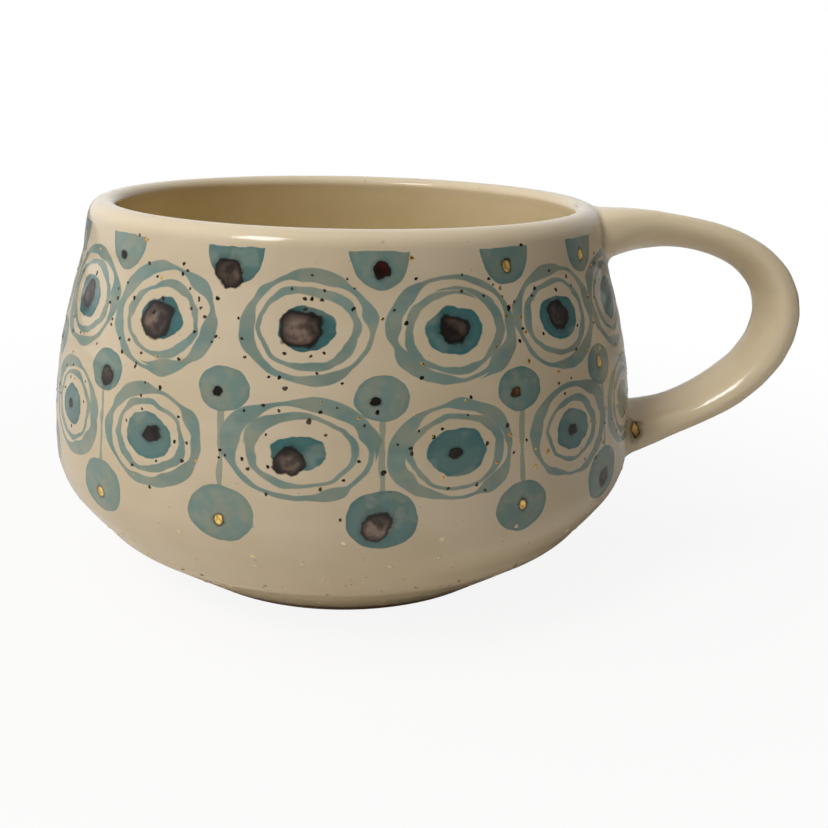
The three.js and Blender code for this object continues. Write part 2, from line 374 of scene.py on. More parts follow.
def motif_paint(graph, name, has_rings):
    """The painted share, paint colour, lustre share and lustre colour of one layer of motifs.

    name_place holds x and y, where 1 is the motif's edge, and a seed. name_look holds the shape, the wash's
    depth and the lustre's tone. A ring motif's shape is the size of its inner ring, and a disc's is 1 when
    only its lower half is painted. name_spot holds x and y in the lustre spot, where 1 is its edge, and the
    size of the disc in the middle.
    """
    x, y, seed = graph.attribute(name + "_place")
    shape, depth, tone = graph.attribute(name + "_look")
    spot_x, spot_y, middle_size = graph.attribute(name + "_spot")
    brush = graph.vector(x, y, seed)
    radius = graph.length(x, y)
    wash = graph.noise(brush, 0.7)
    edge = 0.013  # how far a painted edge takes to fade, each way

    def direction(number):
        """A place for noise that changes with the direction from the middle, and little with the radius."""
        steady = graph.math("DIVIDE", 1.0, graph.plus(radius, 0.05))
        along = graph.plus(graph.times(radius, 0.35), seed)
        return graph.vector(graph.times(x, steady), graph.times(y, steady), graph.plus(along, number))

    def disc(stray):
        wander = graph.plus(graph.noise(direction(0.0), 0.8), -0.5)
        beyond = graph.minus(graph.plus(radius, graph.times(wander, stray)), middle_size)
        return graph.ramp(beyond, -edge, edge, 1.0, 0.0)

    def ring(size, stray, thinnest, thickest, number):
        """A ring brushed in one turn, whose two ends taper off side by side."""
        wander = graph.plus(graph.noise(direction(number), 0.75), -0.5)
        pressure = graph.noise(direction(number + 20.0), 0.9, 1.0)
        thickness = graph.ramp(pressure, 0.33, 0.67, thinnest, thickest)
        turn = graph.times(graph.math("ARCTAN2", y, x), 1 / TURN)
        from_start = graph.plus(turn, graph.times(seed, 0.11 * number))
        along = graph.plus(graph.math("FRACT", from_start), -0.5)
        drift = graph.drift(seed, number)
        steady = graph.minus(size, graph.times(wander, stray))
        to_end = graph.plus(graph.times(graph.math("ABSOLUTE", along), -1.0), 0.5)
        taper = graph.ramp(to_end, 0.0, 0.14, 1.0, 0.0)
        past_end = graph.minus(along, graph.math("SIGN", along))

        def stroke(share, half_width):
            off = graph.minus(radius, graph.plus(steady, graph.times(share, drift)))
            beyond = graph.minus(graph.math("ABSOLUTE", off), half_width)
            return graph.ramp(beyond, -edge, edge, 1.0, 0.0)

        tip = graph.plus(graph.times(graph.plus(thickness, 0.04), taper), -0.04)
        return graph.math("MAXIMUM", stroke(along, thickness), stroke(past_end, tip))

    if has_rings:
        middle = disc(0.22)
        outer = ring(0.93, 0.16, 0.035, 0.145, 40.0)
        inner = ring(shape, 0.2, 0.035, 0.085, 49.0)
        painted = graph.math("MAXIMUM", middle, graph.math("MAXIMUM", outer, inner))
    else:
        top_wave = graph.times(graph.plus(graph.noise(brush, 0.5), -0.5), 0.12)
        below_top = graph.ramp(graph.times(graph.plus(y, top_wave), shape), 0.005, 0.03, 1.0, 0.0)
        middle = graph.times(disc(0.2), below_top)
        painted = middle
    pale = graph.blend(graph.ramp(graph.noise(brush, 0.55), 0.38, 0.62), PALE_GREEN, PALE_BLUE)
    layered = graph.ramp(wash, 0.4, 0.5, 0.55, 1.0)
    rim_pool = graph.ramp(graph.math("DIVIDE", radius, middle_size), 0.75, 1.0, 0.0, 0.14)
    disc_depth = graph.plus(graph.times(depth, layered), rim_pool)
    stroke_depth = graph.ramp(wash, 0.4, 0.62, 0.0, 0.26)
    paint = graph.blend(graph.mix(middle, stroke_depth, disc_depth), pale, DEEP_TEAL)

    spot_radius = graph.length(spot_x, spot_y)
    ragged = graph.vector(spot_x, spot_y, graph.plus(seed, 90.0))
    uneven = graph.plus(graph.noise(ragged, 1.1, 2.5), -0.5)
    spot_reach = graph.plus(spot_radius, graph.times(uneven, 1.1))
    lustre = graph.ramp(spot_reach, 0.86, 1.02, 1.0, 0.0)
    halo = graph.ramp(spot_reach, 0.9, 1.45, 0.4, 0.0)
    paint = graph.blend(halo, paint, DARK_HALO)
    smoke = graph.ramp(graph.noise(ragged, 1.5, 1.0), 0.4, 0.58, 0.35, 1.0)
    smoke = graph.mix(graph.ramp(tone, 0.7, 0.9), smoke, 1.15)
    clouds = graph.times(smoke, graph.ramp(graph.noise(ragged, 0.55, 3.0), 0.36, 0.62, 0.6, 1.5))
    shade_inputs = {0: tone_colour(graph, tone), "Scale": clouds}
    shade = graph.add("ShaderNodeVectorMath", shade_inputs, operation="SCALE")
    rim = graph.ramp(spot_reach, 0.55, 0.9)
    lustre_colour = graph.blend(rim, shade.outputs[0], INK)
    return painted, paint, lustre, lustre_colour, graph.times(tone, graph.minus(1.0, rim))


STEM_LOW, STEM_HIGH = 28.0, 48.0  # heights of the ends of the thin lines between discs


def painted_glaze_material():
    """The bowl's glaze: cream, with thin stems, brown marks on the bevel, and both layers of motifs."""
    graph = Graph("painted_cream_glaze")
    place = graph.position()
    colour = cream(graph, place)
    stem_x, stem_s, stem_seed = graph.attribute("stem_place")
    stem_brush = graph.vector(graph.times(stem_s, 0.12), stem_seed, 0.0)
    stray = graph.plus(stem_x, graph.times(graph.plus(graph.noise(stem_brush, 1.0, 1.0), -0.5), 1.6))
    half_width = graph.ramp(graph.noise(stem_brush, 0.5, 1.0), 0.35, 0.65, 0.28, 0.62)
    beyond = graph.minus(graph.math("ABSOLUTE", stray), half_width)
    in_line = graph.ramp(beyond, -0.08, 0.08, 1.0, 0.0)
    low_end, high_end = length_at(STEM_LOW), length_at(STEM_HIGH)
    low = graph.ramp(stem_s, low_end, low_end + 0.2)
    high = graph.ramp(stem_s, high_end - 0.2, high_end, 1.0, 0.0)
    stem = graph.times(graph.times(in_line, low), high)
    colour = graph.blend(graph.times(stem, 0.9), colour, PALE_GREEN)
    _, _, height = graph.split(place)
    off_edge = graph.math("ABSOLUTE", graph.plus(height, -BEVEL[1] - 0.3))
    marks = graph.ramp(graph.noise(place, 1.9, 2.5), 0.64, 0.67)
    marks = graph.times(marks, graph.ramp(off_edge, 0.8, 1.6, 0.85, 0.0))
    inside, _, _ = graph.attribute("glaze_look")
    marks = graph.times(marks, graph.minus(1.0, inside))
    colour = graph.blend(marks, colour, IRON_BROWN)
    relief = glaze_relief(graph, place)
    roughness, metallic = graph.ramp(graph.noise(place, 6.0), 0.3, 0.7, 0.1, 0.18), 0.0
    for name, has_rings in (("ring", True), ("disc", False)):
        painted, paint, lustre, lustre_colour, gold = motif_paint(graph, name, has_rings)
        colour = graph.blend(painted, colour, paint)
        colour = graph.blend(lustre, colour, lustre_colour)
        roughness = graph.mix(lustre, roughness, 0.3)
        metallic = graph.mix(lustre, metallic, graph.ramp(gold, 0.5, 0.9, 0.15, 0.6))
        relief = graph.plus(relief, graph.times(painted, 0.1))
        relief = graph.plus(relief, graph.times(lustre, 0.25))
    return graph.finish(colour, roughness, metallic, relief, 0.05)


ROOT_SPOT = (59.3, 29.0)  # x and z of the gold spot at the handle's lower root
ROOT_SPOT_FRONT = -4.6  # the spot lies only on the side below this y


def handle_glaze_material():
    """The cream glaze, lightened all over as painted light and darkened at its roots as painted shade, with
    one gold spot at the lower root.
    """
    graph = Graph("handle_cream_glaze")
    place = graph.position()
    roughness = graph.ramp(graph.noise(place, 6.0), 0.3, 0.7, 0.1, 0.18)
    x, y, z = graph.split(place)
    from_x = graph.plus(x, -ROOT_SPOT[0])
    from_z = graph.times(graph.plus(z, -ROOT_SPOT[1]), 0.62)
    front = graph.ramp(y, ROOT_SPOT_FRONT, ROOT_SPOT_FRONT + 0.6, 0.0, 9.0)
    ragged = graph.times(graph.plus(graph.noise(place, 1.2), -0.5), 0.9)
    reach = graph.plus(graph.plus(graph.length(from_x, from_z), front), ragged)
    # painted light: the handle's cream is lightened all over
    colour = graph.blend(PAINTED_LIGHT_ON_HANDLE, cream(graph, place), PAINTED_LIGHT_CREAM)
    colour = graph.blend(graph.ramp(reach, 1.0, 2.2, 0.75, 0.0), colour, POOLED_GLAZE_AND_SHADE)
    gold = graph.ramp(reach, 0.75, 0.95, 1.0, 0.0)
    colour = graph.blend(gold, colour, LUSTRE_TONES[-1][1])
    colour = graph.blend(graph.times(gold, graph.ramp(reach, 0.35, 0.8)), colour, INK)
    roughness = graph.mix(gold, roughness, 0.28)
    return graph.finish(colour, roughness, graph.times(gold, 0.7), glaze_relief(graph, place), 0.05)


def clay_material():
    """Bare fired stoneware with dark grog."""
    graph = Graph("bare_stoneware")
    place = graph.position()
    grog = graph.noise(place, 0.6, 4.0)
    patches = graph.noise(place, 14.0)
    colour = graph.blend(graph.ramp(patches, 0.35, 0.65), (0.50, 0.37, 0.24), (0.40, 0.28, 0.17))
    colour = graph.blend(graph.ramp(grog, 0.6, 0.72, 0.0, 0.6), colour, (0.22, 0.14, 0.08))
    return graph.finish(colour, graph.ramp(grog, 0.3, 0.7, 0.75, 0.95), 0.0, grog, 0.12)


def lustre_material(name, tone_low, tone_high):
    """Metal lustre whose tone differs from dot to dot."""
    graph = Graph(name)
    dot, _, _ = graph.attribute("dot_tone")
    tone = graph.ramp(dot, 0.0, 1.0, tone_low, tone_high)
    clouds = graph.noise(graph.position(), 0.4)
    roughness = graph.ramp(clouds, 0.3, 0.7, 0.2, 0.4)
    metallic = graph.ramp(tone, 0.3, 0.9, 0.4, 1.0)
    return graph.finish(tone_colour(graph, tone), roughness, metallic, clouds, 0.03)


# -------- the painted layout

# Azimuths of the motif columns in degrees, clockwise from the handle as seen from above. None is under it.
RING_COLUMNS = [
    -18.5, -42.2, -66.4, -92.3, -120.7, -145.5, -170, -194.5, -219, -243.5, -268, -292.5, -317, -341.5,
]
DISC_COLUMNS = [
    -31, -54.4, -79.7, -106.3, -133, -158.5, -182.5, -207, -231.5, -256, -280.5, -305, -329.5,
]

# What a motif holds: its wash's depth, its lustre's tone, and the spot's half width, half height and offset
LOOKS = {
    "cloud": (0.95, 0.42, 3.7, 3.2, -0.9, -0.2),
    "low_cloud": (0.9, 0.3, 2.8, 2.4, -1.8, -1.4),
    "disc_cloud": (0.66, 0.42, 2.6, 2.6, -0.9, -1.0),
    "dark": (0.9, 0.22, 2.8, 2.7, -0.1, 0.1),
    "ink": (0.7, 0.0, 2.2, 1.5, 1.0, 0.5),
    "pupil": (0.8, 0.05, 1.3, 1.0, -0.5, -0.1),
    "small_ink": (0.14, 0.0, 0.95, 0.8, -1.0, -0.5),
    "smudge": (0.35, 0.2, 1.9, 1.8, 0.3, -1.0),
    "wine": (0.3, 0.6, 1.4, 1.6, 0.3, 0.5),
    "ember": (0.42, 0.8, 1.1, 0.9, -1.0, -0.5),
    "gold": (0.4, 1.0, 1.0, 1.3, 0.1, 0.3),
    "drop": (0.12, 1.0, 1.1, 1.1, -0.3, -1.2),
    "wash": (0.45, 0.0, 0.0, 0.0, 99.0, 0.0),
}

# The looks of each row, column by column from the handle round to the handle again
UPPER_RINGS = """
    wash dark dark cloud cloud dark cloud dark ink cloud dark low_cloud cloud wash
""".split()
LOWER_RINGS = """
    wash pupil pupil low_cloud ink pupil dark ink low_cloud pupil ink dark pupil wash
""".split()
RIM_DISCS = """
    gold gold wine disc_cloud small_ink gold wine small_ink disc_cloud gold ember wine gold
""".split()
MIDDLE_DISCS = """
    gold ember small_ink small_ink smudge ember gold small_ink wine ember small_ink gold ember
""".split()
LOW_DISCS = """
    smudge gold disc_cloud drop drop gold disc_cloud drop gold smudge disc_cloud drop gold
""".split()

# Heights of the middles of the rows, and of the straight edge of the half discs at the rim
UPPER_RING_Z, LOWER_RING_Z = 58.2, 39.0
RIM_DISC_Z, MIDDLE_DISC_Z, LOW_DISC_Z = 70.2, 48.2, 27.6
FIRST_DISC_NUMBER = 50  # keeps the seeds of discs apart from those of rings


def motif(azimuth, z, width, height, look, number, shape, middle=0.95, halved=False):
    """One motif on the wall. A halved one keeps only what is below z, and height is that of the half."""
    depth, tone, spot_width, spot_height, spot_x, spot_y = LOOKS[look]
    return {
        "theta": math.radians(azimuth), "s": length_at(z), "seed": 3.7 * number, "halved": halved,
        "half_width": width / 2, "half_height": height if halved else height / 2,
        "shape": shape, "depth": depth, "tone": tone, "middle": middle,
        "spot_size": (spot_width, spot_height),
        "spot_at": (spot_x, spot_y - height / 2 if halved else spot_y),
    }


def ring_motifs():
    """Two rows of rings within rings, around a painted middle."""
    draw = random.Random(11)
    motifs = []
    for azimuth, upper, lower in zip(RING_COLUMNS, UPPER_RINGS, LOWER_RINGS):
        stray = draw.uniform(-0.5, 0.5)
        inner = draw.uniform(0.62, 0.74)
        middle = draw.uniform(0.4, 0.46)
        motifs.append(motif(azimuth, UPPER_RING_Z + stray, 22.3, 17.8, upper, len(motifs), inner, middle))
        wide = 25.5 if lower == "low_cloud" else 21.4
        azimuth += draw.uniform(-0.8, 0.8)
        inner = draw.uniform(0.62, 0.74)
        middle = draw.uniform(8.6, 10.2) / wide
        motifs.append(motif(azimuth, LOWER_RING_Z + stray, wide, 16.8, lower, len(motifs), inner, middle))
    return motifs


def disc_motifs():
    """Half discs that hang from the rim, and two rows of whole discs."""
    draw = random.Random(12)
    motifs = []
    for azimuth, rim, middle, low in zip(DISC_COLUMNS, RIM_DISCS, MIDDLE_DISCS, LOW_DISCS):
        number = FIRST_DISC_NUMBER + len(motifs)
        motifs.append(motif(azimuth, RIM_DISC_Z, 10.3, 6.4, rim, number, 1, halved=True))
        z = MIDDLE_DISC_Z + draw.uniform(-0.8, 0.8)
        motifs.append(motif(azimuth, z, 9.5, 7.7, middle, number + 1, 0))
        size = draw.uniform(11.4, 13.0)
        z = LOW_DISC_Z + draw.uniform(-0.8, 0.8)
        motifs.append(motif(azimuth, z, size, size * 0.85, low, number + 2, 0))
    return motifs


RING_MOTIFS = ring_motifs()
DISC_MOTIFS = disc_motifs()


def wrapped(angle):
    return (angle + math.pi) % TURN - math.pi


def nearest_motif(motifs, theta, s):
    """For each place on the wall, the index of its nearest motif, counted in that motif's own size."""
    radius = wall_radius(s)
    away = []
    for m in motifs:
        x = wrapped(theta - m["theta"]) * radius / m["half_width"]
        middle = m["s"] - (m["half_height"] / 2 if m["halved"] else 0)
        y = (s - middle) / m["half_height"]
        away.append(x * x + y * y)
    return np.argmin(away, axis=0)


def field(motifs, key):
    return np.array([m[key] for m in motifs], float)


def paint_coordinates(motifs, theta, s, face_theta, face_s):
    """At each corner of each face: place in its motif, the motif's look, and place in the motif's spot."""
    chosen = nearest_motif(motifs, face_theta, face_s)[:, None]
    keys = ("theta", "s", "half_width", "half_height", "shape", "seed", "depth", "tone", "middle")
    own = {key: field(motifs, key)[chosen] for key in keys}
    spot_size, spot_at = field(motifs, "spot_size")[chosen], field(motifs, "spot_at")[chosen]
    radius = wall_radius(s)
    middle = wrapped(face_theta[:, None] - own["theta"])
    x = (middle + theta - face_theta[:, None]) * radius
    y = s - own["s"]
    size = np.maximum(spot_size, 0.1)
    place = np.stack([x / own["half_width"], y / own["half_height"], own["seed"] + 0 * x], axis=-1)
    look = np.stack([own["shape"] + 0 * x, own["depth"] + 0 * x, own["tone"] + 0 * x], axis=-1)
    spot_x, spot_y = (x - spot_at[..., 0]) / size[..., 0], (y - spot_at[..., 1]) / size[..., 1]
    return place, look, np.stack([spot_x, spot_y, own["middle"] + 0 * x], axis=-1)


def stem_coordinates(theta, s, face_theta):
    """Millimetres from the nearest disc column, and along the wall, at each corner of each face."""
    columns = np.radians(DISC_COLUMNS)
    off = wrapped(face_theta[:, None] - columns[None])
    chosen = np.argmin(np.abs(off), axis=1)
    middle = off[np.arange(len(off)), chosen][:, None]
    x = (middle + theta - face_theta[:, None]) * wall_radius(s)
    return np.stack([x, s, 5.3 * chosen[:, None] + 0 * x], axis=-1)


def add_corner_vectors(mesh, name, values, default):
    """A vector attribute on face corners: values for the first corners, default for the rest."""
    attribute = mesh.attributes.new(name, "FLOAT_VECTOR", "CORNER")
    full = np.tile(np.array(default, np.float32), (len(mesh.loops), 1))
    full[: values.reshape(-1, 3).shape[0]] = values.reshape(-1, 3)
    attribute.data.foreach_set("vector", full.ravel())


# -------- the bowl

AROUND = 360
OUTSIDE_STEP = 0.87  # between rings of vertices
LIP_STEP = 0.3
INSIDE_STEP = 1.25
HIDDEN_STEP = 2.5  # on the side against the clay
LINER_BLEND = 4.0  # depth below the lip over which the glaze turns into the liner


def ring_points(profile, around):
    theta = np.linspace(0, TURN, around, endpoint=False)
    return placed(theta[None, :], profile[:, :1], profile[:, 1:]).reshape(-1, 3)


def crease_shade_at_roots(points, roots):
    """Painted shade in the crease round the handle's roots, where glaze also gathers, 0 to 1, at points in
    metres. roots are the rings where the handle starts.
    """
    edge = np.vstack(roots) * MM
    painted_shade = np.zeros(len(points))
    near = np.where(points[:, 0] > edge[:, 0].min() - 3 * MM)[0]
    away = np.linalg.norm(points[near][:, None] - edge[None], axis=2).min(axis=1) / MM
    # painted shade, strongest right at the crease
    painted_shade[near] = 0.5 * np.exp(-((away / 0.85) ** 2))
    return painted_shade


def add_glaze_look(mesh, inside, painted_shade):
    attribute = mesh.attributes.new("glaze_look", "FLOAT_VECTOR", "POINT")
    values = np.zeros((len(mesh.vertices), 3), np.float32)
    values[:, 0], values[:, 1] = inside, painted_shade
    attribute.data.foreach_set("vector", values.ravel())


def glazed_bowl(material, roots):
    """The glaze as one closed skin: up the outside, over the lip, down inside, and back by the clay."""
    outside = evenly(outside_profile(), OUTSIDE_STEP)
    lip, below_lip = inside_profile()[:LIP_STEPS], inside_profile()[LIP_STEPS - 1:]
    surface = chain(outside, evenly(lip, LIP_STEP), evenly(below_lip, INSIDE_STEP))
    hidden = chain(evenly(outside_profile(), HIDDEN_STEP), evenly(inside_profile(), HIDDEN_STEP))
    clay_side = sunk(hidden, GLAZE)[::-1]
    apex_height, clay_apex_height = surface[-1, 1], clay_side[0, 1]
    surface, clay_side = surface[:-1], clay_side[1:]
    section = np.vstack([surface, clay_side])
    points = list(ring_points(section, AROUND))
    top_rings = len(surface)
    faces = strip_faces(top_rings, AROUND)
    painted_faces = (len(outside) - 1) * AROUND
    apex = len(points)
    points += [(0, 0, apex_height * MM), (0, 0, clay_apex_height * MM)]
    first_clay = top_rings * AROUND
    faces += fan_faces(first_clay - AROUND, AROUND, apex)
    faces += fan_faces(first_clay, AROUND, apex + 1, flip=True)
    faces += strip_faces(len(clay_side), AROUND, first_clay)
    last = first_clay + (len(clay_side) - 1) * AROUND
    faces += [(last + j, last + (j + 1) % AROUND, (j + 1) % AROUND, j) for j in range(AROUND)]
    piece = make_object("glazed_bowl", points, faces, material)
    places = np.array(points)
    depth = HEIGHT - places[:, 2] / MM
    inside_share = np.clip(depth / LINER_BLEND, 0, 1)
    inside_share[: len(outside) * AROUND] = 0
    add_glaze_look(piece.data, inside_share, crease_shade_at_roots(places, roots))

    step = TURN / AROUND
    rows, columns = np.divmod(np.arange(painted_faces), AROUND)
    s = lengths(outside)
    theta = np.stack([columns, columns + 1, columns + 1, columns], axis=1) * step
    corner_s = s[np.stack([rows, rows, rows + 1, rows + 1], axis=1)]
    face_theta, face_s = (columns + 0.5) * step, corner_s.mean(axis=1)
    for name, motifs in (("ring", RING_MOTIFS), ("disc", DISC_MOTIFS)):
        place, look, spot = paint_coordinates(motifs, theta, corner_s, face_theta, face_s)
        add_corner_vectors(piece.data, name + "_place", place, (9, 9, 0))
        add_corner_vectors(piece.data, name + "_look", look, (0, 0, 0))
        add_corner_vectors(piece.data, name + "_spot", spot, (9, 9, 0))
    add_corner_vectors(piece.data, "stem_place", stem_coordinates(theta, corner_s, face_theta), (9, 0, 0))
    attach(piece, "root")
    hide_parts("outer_glaze", "liner_glaze")


HIDDEN_GAP = 0.05  # between the clay and the glaze on it
CLAY_AROUND = 240
CLAY_STEP = 2.0
BASE_RINGS = 90


def clay_bowl(material):
    """The clay body, with fine turning rings on its flat base."""
    radii = np.linspace(0.6, FOOT[0] - 0.9, BASE_RINGS)
    groove = 0.05 + 0.05 * np.sin(radii * 3.1 + 0.9 * np.sin(radii * 0.7))
    groove[-6:] = 0  # the mug rests on the plain edge
    base = np.column_stack([radii, groove])
    edge = bend(base[-1], 0.0, 0.5, between(FOOT, BEVEL, 0.04), math.radians(34), 0.5, 6)
    bare = np.array([between(FOOT, BEVEL, t) for t in np.linspace(0.04, GLAZE_LINE, 8)])
    bare = sunk(bare, GLAZE * 0.5)
    outside = sunk(evenly(outside_profile(), CLAY_STEP), GLAZE + HIDDEN_GAP)
    inside = sunk(evenly(inside_profile(), CLAY_STEP), GLAZE + HIDDEN_GAP)
    section = np.vstack([base, edge[1:], bare[1:], outside[1:], inside[1:-1]])
    points = list(ring_points(section, CLAY_AROUND))
    apex = len(points)
    points += [(0, 0, 0.05 * MM), (0, 0, inside[-1, 1] * MM)]
    faces = fan_faces(0, CLAY_AROUND, apex, flip=True)
    faces += strip_faces(len(section), CLAY_AROUND)
    faces += fan_faces((len(section) - 1) * CLAY_AROUND, CLAY_AROUND, apex + 1)
    piece = make_object("clay_bowl", points, faces, material)
    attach(piece, "root")
    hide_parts("bowl")


# -------- the handle

HANDLE_TOP = (0.919 * BELLY, 0.928 * HEIGHT)
HANDLE_TOP_RISE = math.radians(9.6)
HANDLE_OUTERMOST = (HANDLE_REACH - 3.6, 0.711 * HEIGHT)
HANDLE_BOTTOM = (0.852 * BELLY, 0.36 * HEIGHT)
HANDLE_BOTTOM_RISE = math.radians(4.5)
HANDLE_ROOT = 7.5  # straight stretch at the top, into the wall
HANDLE_THICKNESS = [12, 5.6, 4.7, 6.2, 5.9, 5.5, 11]  # evenly spaced from the top root to the bottom root
HANDLE_WIDTH = [21, 11.6, 10.8, 11.2, 11.2, 11.5, 20]
HANDLE_LEAN = math.radians(25)  # away from its roots, the section leans, with its inner side towards -Y
HANDLE_LEAN_RISE = 2.2  # how quickly the lean sets in from each root
HANDLE_FULLNESS = 0.8  # below 1 the section is squarer than an ellipse
FINGER_MARKS = 0.12  # depth of the slow waves that the potter's fingers leave
HANDLE_AROUND = 64
HANDLE_RINGS = 150
FILLET_STEPS = 10
ROOT_DEPTH = 0.35  # how far the handle's glaze goes on below the wall's surface


def handle_line():
    """The strap's centre line, from inside the wall at the top to inside the wall at the bottom."""
    rise = HANDLE_TOP_RISE
    root = np.array(HANDLE_TOP) - HANDLE_ROOT * np.array([math.cos(rise), math.sin(rise)])
    line = chain(
        np.array([between(root, HANDLE_TOP, t) for t in np.linspace(0, 1, 20)]),
        bend(HANDLE_TOP, rise, 15, HANDLE_OUTERMOST, -UP, 13.4, 120),
        bend(HANDLE_OUTERMOST, -UP, 14.2, HANDLE_BOTTOM, math.pi + HANDLE_BOTTOM_RISE, 15.7, 120),
    )
    return evenly(line, 0.2)


HANDLE_LINE = handle_line()
HANDLE_SHARES = np.linspace(0, 1, len(HANDLE_LINE))


def smooth_value(values, u):
    """The value at share u of evenly spaced values, on a smooth curve through them."""
    values = np.asarray(values, float)
    place = np.clip(u, 0, 1) * (len(values) - 1)
    i = np.minimum(place.astype(int), len(values) - 2)
    t = place - i
    padded = np.concatenate([values[:1], values, values[-1:]])
    a, b, c, d = (padded[i + k] for k in range(4))
    v0, v1 = (c - a) / 2, (d - b) / 2
    return (2 * b - 2 * c + v0 + v1) * t**3 + (3 * c - 3 * b - 2 * v0 - v1) * t**2 + v0 * t + b


def turned(x, y, angle):
    return x * np.cos(angle) - y * np.sin(angle), y * np.cos(angle) + x * np.sin(angle)


def strap_points(u, phi):
    """Points of the strap's surface and their outward directions, in millimetres."""
    slope = np.gradient(HANDLE_LINE, axis=0)
    slope /= np.linalg.norm(slope, axis=1)[:, None]
    cx, cz = (np.interp(u, HANDLE_SHARES, HANDLE_LINE[:, k]) for k in (0, 1))
    tx, tz = (np.interp(u, HANDLE_SHARES, slope[:, k]) for k in (0, 1))
    c, s = np.cos(phi), np.sin(phi)
    out = np.sign(c) * np.abs(c) ** HANDLE_FULLNESS * smooth_value(HANDLE_THICKNESS, u) / 2
    side = np.sign(s) * np.abs(s) ** HANDLE_FULLNESS * smooth_value(HANDLE_WIDTH, u) / 2
    pressed = FINGER_MARKS * np.sin(3 * u * TURN + 2 * c) * np.sin(u * math.pi)
    out = out + pressed * c
    lean = HANDLE_LEAN * np.minimum(1, HANDLE_LEAN_RISE * np.sin(np.clip(u, 0, 1) * math.pi))
    out, side = turned(out, side, lean)
    c, s = turned(c, s, lean)
    point = np.stack([cx - tz * out, side, cz + tx * out], axis=-1)
    away = np.stack([-tz * c, s, tx * c], axis=-1)
    return point, away


def wall_gap(points):
    """Distance in millimetres of points from the ideal glazed wall, negative inside it, and the way out."""
    line = chain(OUTSIDE[::3], inside_profile()[:LIP_STEPS + 1:2])
    start, run = line[:-1], np.diff(line, axis=0)
    shape = points.shape[:-1]
    flat = np.column_stack([np.hypot(points[..., 0], points[..., 1]).ravel(), points[..., 2].ravel()])
    t = np.clip(((flat[:, None] - start) * run).sum(-1) / (run * run).sum(-1), 0, 1)
    off = flat[:, None] - (start + t[..., None] * run)
    far = np.linalg.norm(off, axis=-1)
    k = far.argmin(axis=1)
    i = np.arange(len(flat))
    normal = np.column_stack([run[k, 1], -run[k, 0]])
    normal /= np.linalg.norm(normal, axis=1)[:, None]
    side = np.where((off[i, k] * normal).sum(-1) >= 0, 1.0, -1.0)
    azimuth = np.arctan2(points[..., 1], points[..., 0]).ravel()
    out = np.column_stack([normal[:, 0] * np.cos(azimuth), normal[:, 0] * np.sin(azimuth), normal[:, 1]])
    return (side * far[i, k]).reshape(shape), out.reshape(shape + (3,))


def landing(phi, root_shares, size):
    """Rings of a fillet from the strap down to the wall, ending just under the wall's surface."""
    u_grid = np.linspace(*root_shares, 80)
    grid, _ = strap_points(u_grid[:, None] + 0 * phi, phi + 0 * u_grid[:, None])
    gaps, _ = wall_gap(grid)

    def share_at(level):
        return np.array([np.interp(level[j], gaps[:, j], u_grid) for j in range(len(phi))])

    rings = []
    first = share_at(size)
    for angle in np.linspace(0, UP, FILLET_STEPS):
        level = size * (1 - math.sin(angle))
        point, away = strap_points(share_at(level), phi)
        point = point + away * (size * (1 - math.cos(angle)))[:, None]
        for _ in range(2):  # the second time takes out what the wall's curve leaves over
            gap, out = wall_gap(point)
            point = point + out * (level - gap)[:, None]
        rings.append(point)
    gap, out = wall_gap(rings[-1])
    rings.append(rings[-1] - out * ROOT_DEPTH)
    return rings, first


def handle_glaze(material):
    """The glazed strap, flowing into the wall at both ends. Returns the rings where it meets the wall."""
    phi = np.linspace(0, TURN, HANDLE_AROUND, endpoint=False)
    _, away = strap_points(0.03 + 0 * phi, phi)
    top_size = 0.8 + 0.9 * np.clip(-away[:, 2], 0, 1)
    top_rings, top_share = landing(phi, (0.0, 0.3), top_size)
    low_rings, low_share = landing(phi, (1.0, 0.7), 2.0 + 0 * phi)
    middle = []
    for t in np.linspace(0, 1, HANDLE_RINGS)[1:-1]:
        point, _ = strap_points(top_share * (1 - t) + low_share * t, phi)
        middle.append(point)
    rings = top_rings[::-1] + middle + low_rings
    points = np.vstack(rings)
    ends = [rings[0].mean(axis=0), rings[-1].mean(axis=0)]
    points = np.vstack([points, ends])
    theta = np.arctan2(points[:, 1], points[:, 0])
    points = placed(theta, np.hypot(points[:, 0], points[:, 1]), points[:, 2])
    count = len(rings)
    faces = strip_faces(count, HANDLE_AROUND)
    faces += fan_faces(0, HANDLE_AROUND, len(points) - 2, flip=True)
    faces += fan_faces((count - 1) * HANDLE_AROUND, HANDLE_AROUND, len(points) - 1)
    faces = [face[::-1] for face in faces]
    piece = make_object("glazed_handle", points, faces, material)
    gap, _ = wall_gap(points / MM)
    low = points[:, 2] / MM < 45
    # painted shade in the crease at both roots, where glaze also gathers, and below 45 mm a painted shadow
    # of the bowl on the lower root
    crease = 0.9 * np.exp(-((gap / 0.42) ** 2))
    painted_root_shadow = 0.95 * np.exp(-((np.maximum(gap, 0) / 4.3) ** 2)) * low
    add_glaze_look(piece.data, 0, np.maximum(crease, painted_root_shadow))
    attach(piece, "root")
    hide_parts("handle_glaze")
    return [top_rings[-2], low_rings[-2]]


# -------- raised dots

DOT_AROUND = 10
DOT_ROOT = 0.06  # how far a dot reaches into the glaze


